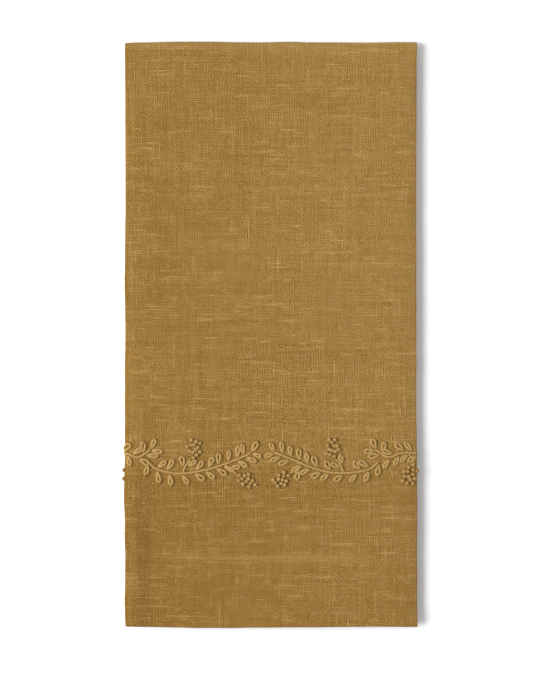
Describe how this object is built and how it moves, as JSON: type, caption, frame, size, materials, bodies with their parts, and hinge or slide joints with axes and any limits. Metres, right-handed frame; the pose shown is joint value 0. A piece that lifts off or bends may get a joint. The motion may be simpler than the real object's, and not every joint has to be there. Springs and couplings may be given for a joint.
{
  "type": "hand towel",
  "caption": "Linen hand towel, folded in thirds and then in half, with a raised tone-on-tone vine embroidered across its lower part",
  "frame": {"origin": "under the middle of the folded towel, on the surface that it lies on", "axes": "+X to the right across the face, +Y toward the crosswise fold, +Z out of the face"},
  "size_m": [0.175, 0.3506, 0.0102],
  "materials": {
    "linen": "matte",
    "embroidery_thread": "matte"
  },
  "bodies": {
    "root": {"towel": "linen"}
  },
  "joints": []
}
